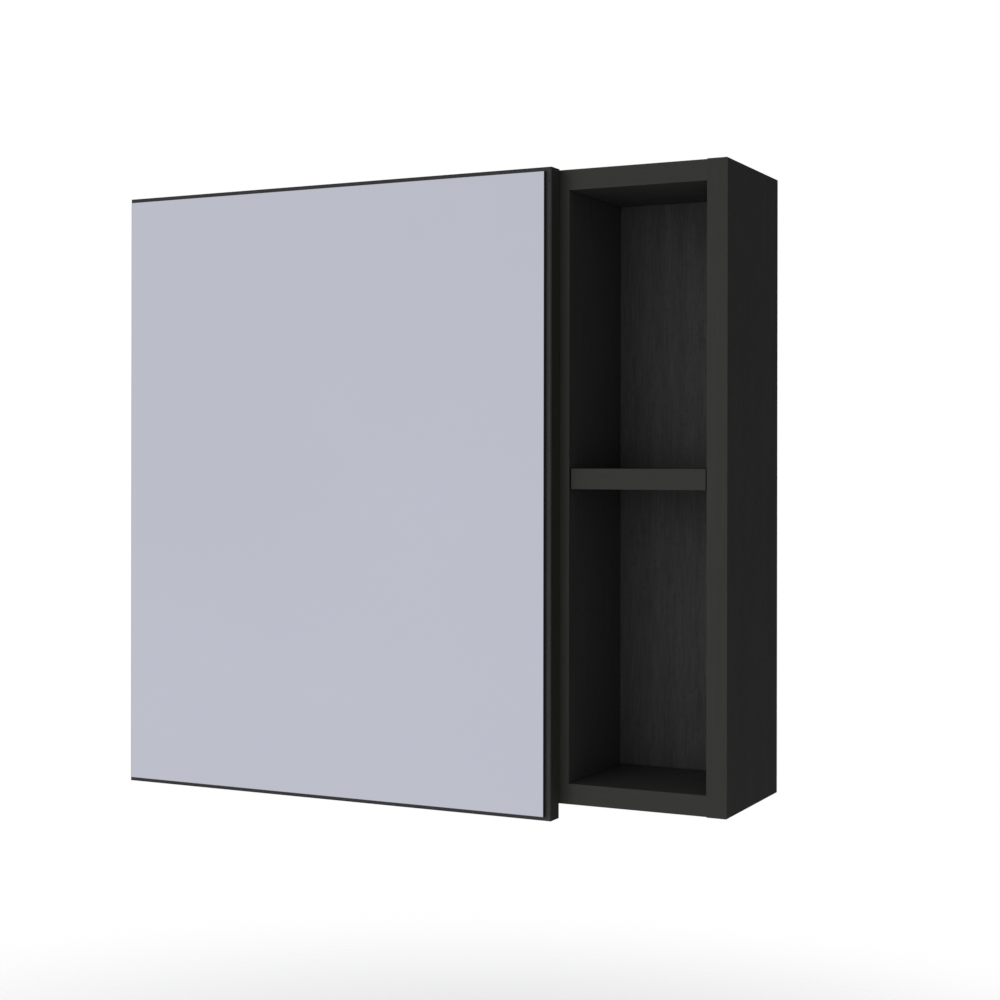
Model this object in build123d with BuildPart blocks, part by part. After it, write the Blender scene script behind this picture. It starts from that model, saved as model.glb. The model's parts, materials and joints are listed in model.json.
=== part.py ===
from build123d import *
import os

# Medicine cabinet with a mirror door and an open side bay, hung on a wall.
# Frame: +X right, +Y back into the wall, +Z up, millimetres. The wall is the plane Y = 0.
# The origin is the middle of the upper hanging rail's rear face, at the height of the wall screws.

# ---------------------------------------------------------------- driving dimensions
cabinet_width = 498.0
carcass_height = 462.4
carcass_depth = 120.0
board = 15.0
end_recess = 0.4
rail_height = 80.0
lower_rail_height = 60.0
rail_thickness = 15.0
back_thickness = 3.0
groove_depth = 6.0
groove_play = 0.1
groove_end_play = 0.3
open_bay_width = 104.4
edge_band = 0.8
arris = 0.4
band_arris = 0.3

door_gap = 1.5
door_overlap_on_divider = 8.0
door_drop = 10.0
glass_thickness = 3.0
glue_thickness = 0.2
glass_border_left = 2.3
glass_border_right = 4.3
glass_border_top = 3.1
glass_border_bottom = 3.0

open_shelf_height = 229.6
inner_shelf_heights = (146.0, 289.0)
shelf_side_play = 1.1
shelf_front_setback = 1.0
inner_shelf_setback = 14.0
shelf_back_play = 0.6

pin_radius = 2.5
pin_hole_depth = 9.0
pin_end_play = 0.5
pin_reach = 8.0
pin_front_row = 37.0
pin_back_row = 85.0
system_row_pitch = 32.0
notch_play = 0.1
notch_length = 9.0

wall_hole_radius = 3.0
wall_hole_spacing = 256.0
wall_hole_cut = 30.0

cam_radius = 7.5
cam_depth = 12.0
cam_backset = 34.0
cam_clearance = 0.1
cam_mouth_past_middle = 3.8
cam_cap_thickness = 1.2
cam_rows = (37.0, 89.0)
bolt_bore = 3.6
bolt_thread_radius = 2.5
bolt_thread_length = 11.0
bolt_shank_radius = 3.0
bolt_shank_length = 25.0
bolt_neck_radius = 1.8
bolt_neck_length = 8.0
bolt_head_length = 3.0
dowel_radius = 4.0
dowel_length = 30.0
dowel_in_face = 10.0
dowel_rows = (53.0, 73.0)
rail_dowel_radius = 3.0
rail_dowel_from_middle = 22.0
lower_rail_dowel_rows = (15.0, 45.0)
divider_screw_rows = (30.0, 80.0)
divider_dowel_row = 55.0
screw_radius = 2.0
screw_head_radius = 4.0
screw_head_depth = 2.5
screw_length = 45.0

hinge_heights = (84.0, 378.4)
hinge_length = 60.0
knuckle_radius = 2.0
knuckle_axis_out = 2.2
knuckle_gap = 0.3
hinge_pin_radius = 1.2
hinge_pin_play = 0.05
leaf_thickness = 1.2
leaf_play = 0.1
carcass_leaf_width = 14.2
door_leaf_width = 9.6
door_leaf_length = 31.4
carcass_leaf_screw_inset = 7.2
door_leaf_screw_inset = 5.4
leaf_screw_radius = 1.2
leaf_screw_length = 12.0
leaf_screw_head = 2.4
carcass_leaf_screw_step = 23.0
door_leaf_screw_step = 9.0
screw_hole_play = 0.1
screw_hole_extra = 1.0

catch_height = 231.2
catch_length = 44.0
catch_width = 14.0
catch_depth = 13.0
catch_wall = 2.0
pole_thickness = 1.5
strike_width = 12.0
strike_length = 38.0
strike_thickness = 1.2
bumper_radius = 3.6
bumper_inset = 20.0
magnet_thickness = 5.0
magnet_length = 24.0
catch_setback = 1.0
catch_head_depth = 4.0
catch_screw_length = 20.0
catch_screw_step = 17.0
catch_screw_row = 8.0
catch_screw_bore = 12.0
catch_corner = 1.0
catch_play = 0.1
magnet_setback = 0.6
strike_screw_step = 15.5
strike_corner = 1.5
bumper_edge = 0.4
leaf_head_depth = 0.8
pin_cap_thickness = 0.8
recess_length = 2.6
recess_width = 0.6
recess_depth = 0.5

glass_arris = 0.5
tape_strips = 3
tape_width = 25.0
tape_inset = 12.0

# ---------------------------------------------------------------- derived places
half_width = cabinet_width / 2
carcass_bottom = -(carcass_height - end_recess - board - rail_height / 2)
carcass_top = carcass_bottom + carcass_height
front = -carcass_depth
inner_left = -half_width + board
inner_right = half_width - board
bay_floor = carcass_bottom + end_recess + board
bay_ceiling = carcass_top - end_recess - board
back_front = -rail_thickness - back_thickness
divider_right = inner_right - open_bay_width
divider_left = divider_right - board
closed_bay_middle = (inner_left + divider_left) / 2
door_left = -half_width
door_right = divider_left + door_overlap_on_divider
door_bottom = carcass_bottom - door_drop
door_back = front - door_gap
door_front = door_back - board
glass_back = door_front - glue_thickness
glass_front = glass_back - glass_thickness

os.makedirs("parts", exist_ok=True)


# ---------------------------------------------------------------- helpers
def block(x, y, z, mode=Mode.ADD):
    """Add or cut a block that spans three (low, high) pairs."""
    size = [high - low for low, high in (x, y, z)]
    centre = tuple((high + low) / 2 for low, high in (x, y, z))
    with Locations(centre):
        Box(*size, mode=mode)


def rod(centre, radius, length, axis, mode=Mode.ADD):
    """Add or cut a round rod that starts at centre and runs along axis."""
    start = Plane(origin=centre, z_dir=axis)
    with BuildSketch(start) as section:
        Circle(radius)
    extrude(section.sketch, amount=length, mode=mode)


def soften(axis, amount=arris):
    """Take the arris off every edge that runs along axis."""
    chamfer(edges().filter_by(axis), amount)


def finish(part, name):
    """Label a finished piece and write it to its own file."""
    part.label = name
    export_step(part, "parts/" + name + ".step")


# ---------------------------------------------------------------- shared positions
shelf_pin_ys = (front + pin_front_row, front + pin_back_row)
cam_ys = [front + row for row in cam_rows]
dowel_ys = [front + row for row in dowel_rows]
groove_y = (back_front - groove_play, -rail_thickness + groove_play)
band_y = (front, front + edge_band)
core_front = front + edge_band
open_shelf_z = carcass_bottom + open_shelf_height
inner_shelf_zs = [carcass_bottom + height for height in inner_shelf_heights]
hinge_zs = [carcass_bottom + height for height in hinge_heights]
inner_pin_zs = [z - pin_radius for z in inner_shelf_zs]
inner_row_zs = [z + step for z in inner_pin_zs for step in (-system_row_pitch, 0, system_row_pitch)]
open_pin_z = open_shelf_z + pin_radius
end_boards = {
    "top_panel": (bay_ceiling, bay_ceiling + board, -1),
    "bottom_panel": (bay_floor - board, bay_floor, 1),
}
divider_middle = (divider_left + divider_right) / 2
divider_screw_ys = [front + row for row in divider_screw_rows]
divider_dowel_y = front + divider_dowel_row
rail_dowel_y = -rail_thickness / 2
upper_rail_dowel_zs = (-rail_dowel_from_middle, rail_dowel_from_middle)
lower_rail_dowel_zs = tuple(bay_floor + row for row in lower_rail_dowel_rows)
rail_dowel_zs = upper_rail_dowel_zs + lower_rail_dowel_zs
wall_hole_xs = [closed_bay_middle + side * wall_hole_spacing / 2 for side in (-1, 1)]
leaf_screw_hole = leaf_screw_radius + screw_hole_play
carcass_leaf_screws = [(-half_width + carcass_leaf_screw_inset, z + step) for z in hinge_zs
                       for step in (-carcass_leaf_screw_step, carcass_leaf_screw_step)]
door_leaf_screws = [(-half_width + door_leaf_screw_inset, z + step) for z in hinge_zs
                    for step in (-door_leaf_screw_step, door_leaf_screw_step)]
catch_x = divider_left - catch_width / 2
catch_z = carcass_bottom + catch_height
catch_screw_zs = [catch_z + step for step in (-catch_screw_step, catch_screw_step)]
catch_screw_y = front + catch_screw_row
strike_screw_zs = [catch_z + step for step in (-strike_screw_step, strike_screw_step)]
bumper_x = divider_left + door_overlap_on_divider / 2


def pin_holes(face_x, direction, heights):
    """Bore shelf-pin holes into the face at face_x; direction points into the board."""
    for y in shelf_pin_ys:
        for z in heights:
            rod((face_x, y, z), pin_radius, pin_hole_depth, (direction, 0, 0), Mode.SUBTRACT)


def screw_holes(places, face_y, into):
    """Bore hinge screw holes at (x, z) places into the face at face_y."""
    for x, z in places:
        rod((x, face_y, z), leaf_screw_hole, leaf_screw_length + screw_hole_extra, (0, into, 0), Mode.SUBTRACT)


def side_panel(name, inner_face, outer_face, pin_zs, front_screws=()):
    """Make a full-height side panel with shelf-pin holes in its inner face and screw holes in its front."""
    into = 1 if outer_face > inner_face else -1
    span = sorted((inner_face, outer_face))
    with BuildPart() as side:
        block(span, (core_front, 0), (carcass_bottom, carcass_top))
        soften(Axis.Y)
        groove = sorted((inner_face, inner_face + into * groove_depth))
        block(groove, groove_y, (bay_floor - groove_depth, bay_ceiling + groove_depth), Mode.SUBTRACT)
        for low, high, _ in end_boards.values():
            middle = (low + high) / 2
            for y in cam_ys:
                rod((inner_face, y, middle), bolt_thread_radius, bolt_thread_length, (into, 0, 0),
                    Mode.SUBTRACT)
            for y in dowel_ys:
                rod((inner_face, y, middle), dowel_radius, dowel_in_face, (into, 0, 0), Mode.SUBTRACT)
        for z in rail_dowel_zs:
            rod((inner_face, rail_dowel_y, z), rail_dowel_radius, dowel_in_face, (into, 0, 0), Mode.SUBTRACT)
        pin_holes(inner_face, into, pin_zs)
        screw_holes(front_screws, front, 1)
    finish(side.part, name)


def end_board(name):
    """Make the top or the bottom panel, with cams let in from its outer face."""
    low, high, inward = end_boards[name]
    outer, inner = (high, low) if inward < 0 else (low, high)
    middle = (low + high) / 2
    with BuildPart() as panel:
        block((inner_left, inner_right), (core_front, 0), (low, high))
        soften(Axis.Y)
        lip = sorted((inner, inner - inward * groove_depth))
        block((inner_left, inner_right), groove_y, lip, Mode.SUBTRACT)
        for end, into in ((inner_left, 1), (inner_right, -1)):
            for y in cam_ys:
                rod((end + into * cam_backset, y, outer), cam_radius, cam_depth, (0, 0, inward), Mode.SUBTRACT)
                rod((end, y, middle), bolt_bore, cam_backset, (into, 0, 0), Mode.SUBTRACT)
            for y in dowel_ys:
                rod((end, y, middle), dowel_radius, dowel_length - dowel_in_face, (into, 0, 0), Mode.SUBTRACT)
        for y in divider_screw_ys:
            head = (divider_middle, y, outer)
            rod(head, screw_radius, board, (0, 0, inward), Mode.SUBTRACT)
            rod(head, screw_head_radius, screw_head_depth, (0, 0, inward), Mode.SUBTRACT)
        rod((divider_middle, divider_dowel_y, inner), dowel_radius, dowel_in_face, (0, 0, -inward),
            Mode.SUBTRACT)
    finish(panel.part, name)


# ---------------------------------------------------------------- carcass boards
side_panel("side_panel_left", inner_left, -half_width, inner_row_zs, carcass_leaf_screws)
side_panel("side_panel_right", inner_right, half_width, [open_pin_z])
for panel_name in end_boards:
    end_board(panel_name)

with BuildPart() as divider:
    block((divider_left, divider_right), (core_front, back_front), (bay_floor, bay_ceiling))
    pin_holes(divider_left, 1, inner_row_zs)
    pin_holes(divider_right, -1, [open_pin_z])
    for z in catch_screw_zs:
        rod((divider_left, catch_screw_y, z), leaf_screw_hole, catch_screw_bore, (1, 0, 0), Mode.SUBTRACT)
    for end, into in ((bay_floor, 1), (bay_ceiling, -1)):
        for y in divider_screw_ys:
            rod((divider_middle, y, end), screw_radius, screw_length - board, (0, 0, into), Mode.SUBTRACT)
        rod((divider_middle, divider_dowel_y, end), dowel_radius, dowel_length - dowel_in_face, (0, 0, into),
            Mode.SUBTRACT)
finish(divider.part, "divider")

with BuildPart() as back_panel:
    tuck = groove_depth - groove_end_play
    block((inner_left - tuck, inner_right + tuck), (back_front, -rail_thickness),
          (bay_floor - tuck, bay_ceiling + tuck))
    for x in wall_hole_xs:
        rod((x, 0, 0), wall_hole_radius, wall_hole_cut, (0, -1, 0), Mode.SUBTRACT)
finish(back_panel.part, "back_panel")


def hanging_rail(name, low, high, dowel_zs, wall_holes):
    """Make one rail that lies against the wall behind the back panel."""
    with BuildPart() as rail:
        block((inner_left, inner_right), (-rail_thickness, 0), (low, high))
        for end, into in ((inner_left, 1), (inner_right, -1)):
            for z in dowel_zs:
                rod((end, rail_dowel_y, z), rail_dowel_radius, dowel_length - dowel_in_face, (into, 0, 0),
                    Mode.SUBTRACT)
        for x in wall_holes:
            rod((x, 0, 0), wall_hole_radius, wall_hole_cut, (0, -1, 0), Mode.SUBTRACT)
    finish(rail.part, name)


hanging_rail("hanging_rail_top", bay_ceiling - rail_height, bay_ceiling, upper_rail_dowel_zs, wall_hole_xs)
hanging_rail("hanging_rail_bottom", bay_floor, bay_floor + lower_rail_height, lower_rail_dowel_zs, [])


# ---------------------------------------------------------------- edge bands
def bands(name, spans, screws=()):
    """Make plastic edge bands, one for each (x, y, z) span, with eased corners and any screw holes."""
    with BuildPart() as strip:
        for span in spans:
            block(*span)
        soften(Axis.Y, band_arris)
        screw_holes(screws, front, 1)
    finish(strip.part, name)


full_height = (carcass_bottom, carcass_top)
bands("front_bands_sides", [((-half_width, inner_left), band_y, full_height),
                            ((inner_right, half_width), band_y, full_height)], carcass_leaf_screws)
bands("front_bands_top_bottom", [((inner_left, inner_right), band_y, (low, high))
                                 for low, high, _ in end_boards.values()])
bands("front_band_divider", [((divider_left, divider_right), band_y, (bay_floor, bay_ceiling))])


# ---------------------------------------------------------------- shelves
def shelf(name, x, front_y, z, notches=()):
    """Make one shelf board behind its edge band; a notch over each (x, direction) end hides the pins."""
    with BuildPart() as shelf_board:
        block(x, (front_y + edge_band, shelf_rear), (z, z + board))
        for end, into in notches:
            for y in shelf_pin_ys:
                width = pin_radius + notch_play
                rod((end, y, z + pin_radius), width, notch_length, (into, 0, 0), Mode.SUBTRACT)
                block(sorted((end, end + into * notch_length)), (y - width, y + width), (z, z + pin_radius),
                      Mode.SUBTRACT)
    finish(shelf_board.part, name)


open_shelf_x = (divider_right + shelf_side_play, inner_right - shelf_side_play)
open_shelf_front = front + shelf_front_setback
shelf_rear = back_front - shelf_back_play
inner_shelf_x = (inner_left + shelf_side_play, divider_left - shelf_side_play)
inner_shelf_front = front + inner_shelf_setback
shelf("open_shelf", open_shelf_x, open_shelf_front, open_shelf_z, ((open_shelf_x[0], 1), (open_shelf_x[1], -1)))
bands("open_shelf_band", [(open_shelf_x, (open_shelf_front, open_shelf_front + edge_band),
                           (open_shelf_z, open_shelf_z + board))])
for level, shelf_z in zip(("lower", "upper"), inner_shelf_zs):
    shelf("inner_shelf_" + level, inner_shelf_x, inner_shelf_front, shelf_z)
bands("inner_shelf_bands", [(inner_shelf_x, (inner_shelf_front, inner_shelf_front + edge_band), (z, z + board))
                            for z in inner_shelf_zs])


def shelf_pins(name, faces, heights):
    """Make round shelf pins, each bored into a (face, direction) at every height of its middle."""
    buried = pin_hole_depth - pin_end_play
    with BuildPart() as pins:
        for face_x, into in faces:
            for y in shelf_pin_ys:
                for z in heights:
                    rod((face_x + into * buried, y, z), pin_radius, buried + pin_reach, (-into, 0, 0))
    finish(pins.part, name)


shelf_pins("shelf_pins_inner", ((inner_left, -1), (divider_left, 1)), inner_pin_zs)
shelf_pins("shelf_pins_open", ((divider_right, -1), (inner_right, 1)), [open_pin_z])

# ---------------------------------------------------------------- knock-down fittings
cam_places = [(end, into, y, name) for name in end_boards for end, into in ((inner_left, 1), (inner_right, -1))
              for y in cam_ys]


def outer_face(name):
    """Give the outer face height of an end board and the direction into the board."""
    low, high, inward = end_boards[name]
    return (high if inward < 0 else low), inward


with BuildPart() as cam_locks:
    for end, into, y, name in cam_places:
        face, inward = outer_face(name)
        middle = face + inward * board / 2
        centre_x = end + into * cam_backset
        rod((centre_x, y, face + inward * cam_cap_thickness), cam_radius - cam_clearance,
            cam_depth - cam_cap_thickness - cam_clearance, (0, 0, inward))
        rod((centre_x - into * cam_radius, y, middle), bolt_bore, cam_radius + cam_mouth_past_middle,
            (into, 0, 0), Mode.SUBTRACT)
finish(cam_locks.part, "cam_locks")

bolt_stretches = (
    (bolt_thread_radius, bolt_thread_length),
    (bolt_shank_radius, bolt_shank_length),
    (bolt_neck_radius, bolt_neck_length),
    (bolt_shank_radius, bolt_head_length),
)
with BuildPart() as cam_bolts:
    for end, into, y, name in cam_places:
        face, inward = outer_face(name)
        middle = face + inward * board / 2
        x = end - into * bolt_thread_length
        for radius, length in bolt_stretches:
            rod((x, y, middle), radius, length, (into, 0, 0))
            x += into * length
finish(cam_bolts.part, "cam_bolts")

with BuildPart() as cam_caps:
    for end, into, y, name in cam_places:
        face, inward = outer_face(name)
        rod((end + into * cam_backset, y, face), cam_radius - cam_clearance, cam_cap_thickness, (0, 0, inward))
finish(cam_caps.part, "cam_caps")

with BuildPart() as wood_dowels:
    for low, high, _ in end_boards.values():
        for end, into in ((inner_left, 1), (inner_right, -1)):
            for y in dowel_ys:
                rod((end - into * dowel_in_face, y, (low + high) / 2), dowel_radius, dowel_length, (into, 0, 0))
    for end, into in ((bay_floor, 1), (bay_ceiling, -1)):
        start = end - into * dowel_in_face
        rod((divider_middle, divider_dowel_y, start), dowel_radius, dowel_length, (0, 0, into))
    for end, into in ((inner_left, 1), (inner_right, -1)):
        for z in rail_dowel_zs:
            rod((end - into * dowel_in_face, rail_dowel_y, z), rail_dowel_radius, dowel_length, (into, 0, 0))
finish(wood_dowels.part, "wood_dowels")

with BuildPart() as divider_screws:
    for name in end_boards:
        face, inward = outer_face(name)
        for y in divider_screw_ys:
            rod((divider_middle, y, face), screw_head_radius, screw_head_depth, (0, 0, inward))
            rod((divider_middle, y, face), screw_radius, screw_length, (0, 0, inward))
finish(divider_screws.part, "divider_screws")


# ---------------------------------------------------------------- door
with BuildPart() as door_panel:
    block((door_left + edge_band, door_right - edge_band), (door_front, door_back),
          (door_bottom + edge_band, carcass_top - edge_band))
    screw_holes(door_leaf_screws, door_back, -1)
    for z in strike_screw_zs:
        rod((catch_x, door_back, z), leaf_screw_hole, leaf_screw_length, (0, -1, 0), Mode.SUBTRACT)
finish(door_panel.part, "door_panel")


def door_bands(name, spans, long_axis):
    """Make the bands round the door's edges, with their long corners eased."""
    with BuildPart() as strip:
        for x, z in spans:
            block(x, (door_front, door_back), z)
        soften(long_axis, band_arris)
    finish(strip.part, name)


door_height = (door_bottom, carcass_top)
door_inner_width = (door_left + edge_band, door_right - edge_band)
door_bands("door_bands_sides", [((door_left, door_left + edge_band), door_height),
                                ((door_right - edge_band, door_right), door_height)], Axis.Z)
door_bands("door_bands_ends", [(door_inner_width, (door_bottom, door_bottom + edge_band)),
                               (door_inner_width, (carcass_top - edge_band, carcass_top))], Axis.X)

glass_x = (door_left + glass_border_left, door_right - glass_border_right)
glass_z = (door_bottom + glass_border_bottom, carcass_top - glass_border_top)
with BuildPart() as mirror_glass:
    block(glass_x, (glass_front, glass_back), glass_z)
    chamfer(faces().sort_by(Axis.Y)[0].edges(), glass_arris)
finish(mirror_glass.part, "mirror_glass")

with BuildPart() as mirror_tape:
    for step in range(tape_strips):
        pitch = (glass_x[1] - glass_x[0]) / tape_strips
        middle = glass_x[0] + pitch * (step + 0.5)
        block((middle - tape_width / 2, middle + tape_width / 2), (glass_back, door_front),
              (glass_z[0] + tape_inset, glass_z[1] - tape_inset))
finish(mirror_tape.part, "mirror_tape")

with BuildPart() as door_bumpers:
    for z in (bay_floor + bumper_inset, bay_ceiling - bumper_inset):
        rod((bumper_x, door_back, z), bumper_radius, strike_thickness, (0, 1, 0))
    chamfer(edges().filter_by(GeomType.CIRCLE).group_by(Axis.Y)[-1], bumper_edge)
finish(door_bumpers.part, "door_bumpers")

# ---------------------------------------------------------------- flush hinges
hinge_x = -half_width - knuckle_axis_out
hinge_y = front - door_gap / 2
carcass_leaf_y = (front - leaf_play - leaf_thickness, front - leaf_play)
door_leaf_y = (door_back + leaf_play, door_back + leaf_play + leaf_thickness)
window = door_leaf_length / 2 + knuckle_gap


def knuckle(low, high, mode=Mode.ADD):
    """Add or cut a round stretch on the hinge axis."""
    radius = knuckle_radius if mode == Mode.ADD else hinge_pin_radius + hinge_pin_play
    rod((hinge_x, hinge_y, low), radius, high - low, (0, 0, 1), mode)


def countersinks(places, face_y, into):
    """Cut countersunk screw holes into a leaf whose outer face is at face_y."""
    for x, z in places:
        rod((x, face_y, z), leaf_screw_hole, leaf_thickness, (0, into, 0), Mode.SUBTRACT)
        rod((x, face_y, z), leaf_screw_head + screw_hole_play, leaf_head_depth, (0, into, 0), Mode.SUBTRACT)


with BuildPart() as hinge_leaves_carcass:
    for z in hinge_zs:
        low, high = z - hinge_length / 2, z + hinge_length / 2
        block((hinge_x, -half_width + carcass_leaf_width), carcass_leaf_y, (low, high))
        block((hinge_x - knuckle_radius, -half_width + door_leaf_width + knuckle_gap), carcass_leaf_y,
              (z - window, z + window), Mode.SUBTRACT)
        knuckle(low, z - window)
        knuckle(z + window, high)
        knuckle(low, high, Mode.SUBTRACT)
    countersinks(carcass_leaf_screws, carcass_leaf_y[0], 1)
finish(hinge_leaves_carcass.part, "hinge_leaves_carcass")

with BuildPart() as hinge_leaves_door:
    for z in hinge_zs:
        low, high = z - door_leaf_length / 2, z + door_leaf_length / 2
        block((hinge_x, -half_width + door_leaf_width), door_leaf_y, (low, high))
        knuckle(low, high)
        knuckle(low, high, Mode.SUBTRACT)
    countersinks(door_leaf_screws, door_leaf_y[1], -1)
finish(hinge_leaves_door.part, "hinge_leaves_door")

with BuildPart() as hinge_pins:
    for z in hinge_zs:
        rod((hinge_x, hinge_y, z - hinge_length / 2), hinge_pin_radius, hinge_length, (0, 0, 1))
        for end, way in ((z - hinge_length / 2, -1), (z + hinge_length / 2, 1)):
            rod((hinge_x, hinge_y, end), knuckle_radius, pin_cap_thickness, (0, 0, way))
finish(hinge_pins.part, "hinge_pins")


def leaf_screws(name, places, face_y, into):
    """Make flat-head screws that hold a leaf, with a cross recess in each head."""
    with BuildPart() as screws:
        for x, z in places:
            rod((x, face_y, z), leaf_screw_head, leaf_head_depth, (0, into, 0))
            rod((x, face_y, z), leaf_screw_radius, leaf_screw_length, (0, into, 0))
            recess = (face_y, face_y + into * recess_depth)
            for wide, tall in ((recess_length, recess_width), (recess_width, recess_length)):
                block((x - wide / 2, x + wide / 2), sorted(recess), (z - tall / 2, z + tall / 2), Mode.SUBTRACT)
    finish(screws.part, name)


leaf_screws("hinge_screws_carcass", carcass_leaf_screws, carcass_leaf_y[0], 1)
leaf_screws("hinge_screws_door", door_leaf_screws, door_leaf_y[1], -1)

# ---------------------------------------------------------------- magnetic catch
catch_span_x = (divider_left - catch_width, divider_left)
catch_span_y = (front + catch_setback, front + catch_setback + catch_depth)
magnet_x = (catch_x - magnet_thickness / 2, catch_x + magnet_thickness / 2)
pole_xs = [(magnet_x[0] - pole_thickness, magnet_x[0]), (magnet_x[1], magnet_x[1] + pole_thickness)]
magnet_z = (catch_z - magnet_length / 2, catch_z + magnet_length / 2)

pocket_end = catch_span_y[1] - catch_wall - catch_play

with BuildPart() as catch_housing:
    block(catch_span_x, catch_span_y, (catch_z - catch_length / 2, catch_z + catch_length / 2))
    soften(Axis.Y, catch_corner)
    block((pole_xs[0][0] - catch_play, pole_xs[1][1] + catch_play),
          (catch_span_y[0], catch_span_y[1] - catch_wall),
          (magnet_z[0] - catch_play, magnet_z[1] + catch_play), Mode.SUBTRACT)
    for z in catch_screw_zs:
        rod((catch_span_x[0], catch_screw_y, z), leaf_screw_hole, catch_width, (1, 0, 0), Mode.SUBTRACT)
        rod((catch_span_x[0], catch_screw_y, z), leaf_screw_head + screw_hole_play, catch_head_depth, (1, 0, 0),
            Mode.SUBTRACT)
finish(catch_housing.part, "catch_housing")

with BuildPart() as catch_magnet:
    block(magnet_x, (catch_span_y[0] + magnet_setback, pocket_end), magnet_z)
finish(catch_magnet.part, "catch_magnet")

with BuildPart() as catch_poles:
    for span in pole_xs:
        block(span, (front, pocket_end), magnet_z)
finish(catch_poles.part, "catch_poles")

with BuildPart() as catch_screws:
    for z in catch_screw_zs:
        start = catch_span_x[0] + catch_head_depth - leaf_head_depth
        rod((start, catch_screw_y, z), leaf_screw_head, leaf_head_depth, (1, 0, 0))
        rod((start, catch_screw_y, z), leaf_screw_radius, catch_screw_length, (1, 0, 0))
finish(catch_screws.part, "catch_screws")

with BuildPart() as strike_plate:
    block((catch_x - strike_width / 2, catch_x + strike_width / 2), (door_back, door_back + strike_thickness),
          (catch_z - strike_length / 2, catch_z + strike_length / 2))
    soften(Axis.Y, strike_corner)
    for z in strike_screw_zs:
        rod((catch_x, door_back, z), leaf_screw_hole, strike_thickness, (0, 1, 0), Mode.SUBTRACT)
        rod((catch_x, door_back + strike_thickness, z), leaf_screw_head + screw_hole_play, leaf_head_depth,
            (0, -1, 0), Mode.SUBTRACT)
finish(strike_plate.part, "strike_plate")

leaf_screws("strike_screws", [(catch_x, z) for z in strike_screw_zs], door_back + strike_thickness, -1)
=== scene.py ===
import json
import math

import bmesh
import bpy
from bpy.props import FloatProperty, FloatVectorProperty, IntProperty, PointerProperty
from mathutils import Matrix, Vector


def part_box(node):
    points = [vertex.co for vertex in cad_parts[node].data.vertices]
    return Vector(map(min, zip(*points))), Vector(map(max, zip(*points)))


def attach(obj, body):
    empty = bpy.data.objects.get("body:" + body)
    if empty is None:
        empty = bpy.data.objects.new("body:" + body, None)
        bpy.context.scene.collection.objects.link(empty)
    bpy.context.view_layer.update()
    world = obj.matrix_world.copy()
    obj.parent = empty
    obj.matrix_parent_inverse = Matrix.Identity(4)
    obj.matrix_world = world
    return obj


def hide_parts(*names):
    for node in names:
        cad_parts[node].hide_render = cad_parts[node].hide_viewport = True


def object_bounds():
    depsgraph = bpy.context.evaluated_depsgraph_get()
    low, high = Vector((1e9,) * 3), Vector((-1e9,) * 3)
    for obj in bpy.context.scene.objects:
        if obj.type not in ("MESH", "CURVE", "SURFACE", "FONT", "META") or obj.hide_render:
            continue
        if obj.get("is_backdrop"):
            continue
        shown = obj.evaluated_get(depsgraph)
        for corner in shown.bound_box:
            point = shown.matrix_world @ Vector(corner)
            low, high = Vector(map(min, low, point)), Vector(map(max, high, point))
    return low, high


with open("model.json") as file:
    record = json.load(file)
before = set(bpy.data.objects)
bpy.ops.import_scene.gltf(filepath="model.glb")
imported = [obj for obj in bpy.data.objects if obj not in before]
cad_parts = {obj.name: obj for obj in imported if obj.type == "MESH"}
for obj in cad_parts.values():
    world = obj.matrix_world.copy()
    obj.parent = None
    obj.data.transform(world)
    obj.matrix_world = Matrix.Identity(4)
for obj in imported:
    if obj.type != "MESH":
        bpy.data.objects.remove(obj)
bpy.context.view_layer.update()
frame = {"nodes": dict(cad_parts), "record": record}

bl_info = {
    "name": "Medicine Cabinet Finisher",
    "version": (1, 0, 0),
    "blender": (4, 5, 0),
    "location": "View3D > Sidebar > Cabinet",
    "description": "Finishes a wall cabinet: dark boards, mirror, hinges, catch and fittings",
    "category": "Object",
}

MM = 0.001
WHITE = (1.0, 1.0, 1.0, 1.0)
VALUE = "NodeSocketFloat"
VECTOR = "NodeSocketVector"

# How far apart two points still count as one, or as lying in one plane.
WELD_GAP = 0.0005 * MM
PLANE_GAP = 0.01 * MM

# Bends between two faces, in degrees: below the first they are one flat face, above the second their edge is
# a corner to round, and below the third they are shaded as one smooth face.
FLAT_BEND = 0.5
CORNER_BEND = 28.0
SMOOTH_BEND = 32.0

# How much the grain pattern is squeezed along X, Y and Z: little along the board, so it draws out there.
GRAIN_UPRIGHT = (1.0, 1.0, 0.055)
GRAIN_LEVEL = (0.055, 1.0, 1.0)
GRAIN_DOWEL = (0.08, 1.0, 1.0)

UPRIGHT_BOARDS = ("side_panel_left", "side_panel_right", "divider", "door_panel")
LEVEL_BOARDS = ("top_panel", "bottom_panel", "hanging_rail_top", "hanging_rail_bottom", "open_shelf",
                "inner_shelf_lower", "inner_shelf_upper")
BARE_REAR_BOARDS = ("side_panel_left", "side_panel_right", "top_panel", "bottom_panel")
UPRIGHT_BANDS = ("front_bands_sides", "front_band_divider", "door_bands_sides")
LEVEL_BANDS = ("front_bands_top_bottom", "open_shelf_band", "inner_shelf_bands", "door_bands_ends")
LACQUERED = ("hinge_leaves_carcass", "hinge_leaves_door")
HINGE_NICKEL = ("hinge_pins", "hinge_screws_carcass", "hinge_screws_door")
CATCH_NICKEL = ("catch_poles", "catch_screws", "strike_plate", "strike_screws")

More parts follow.
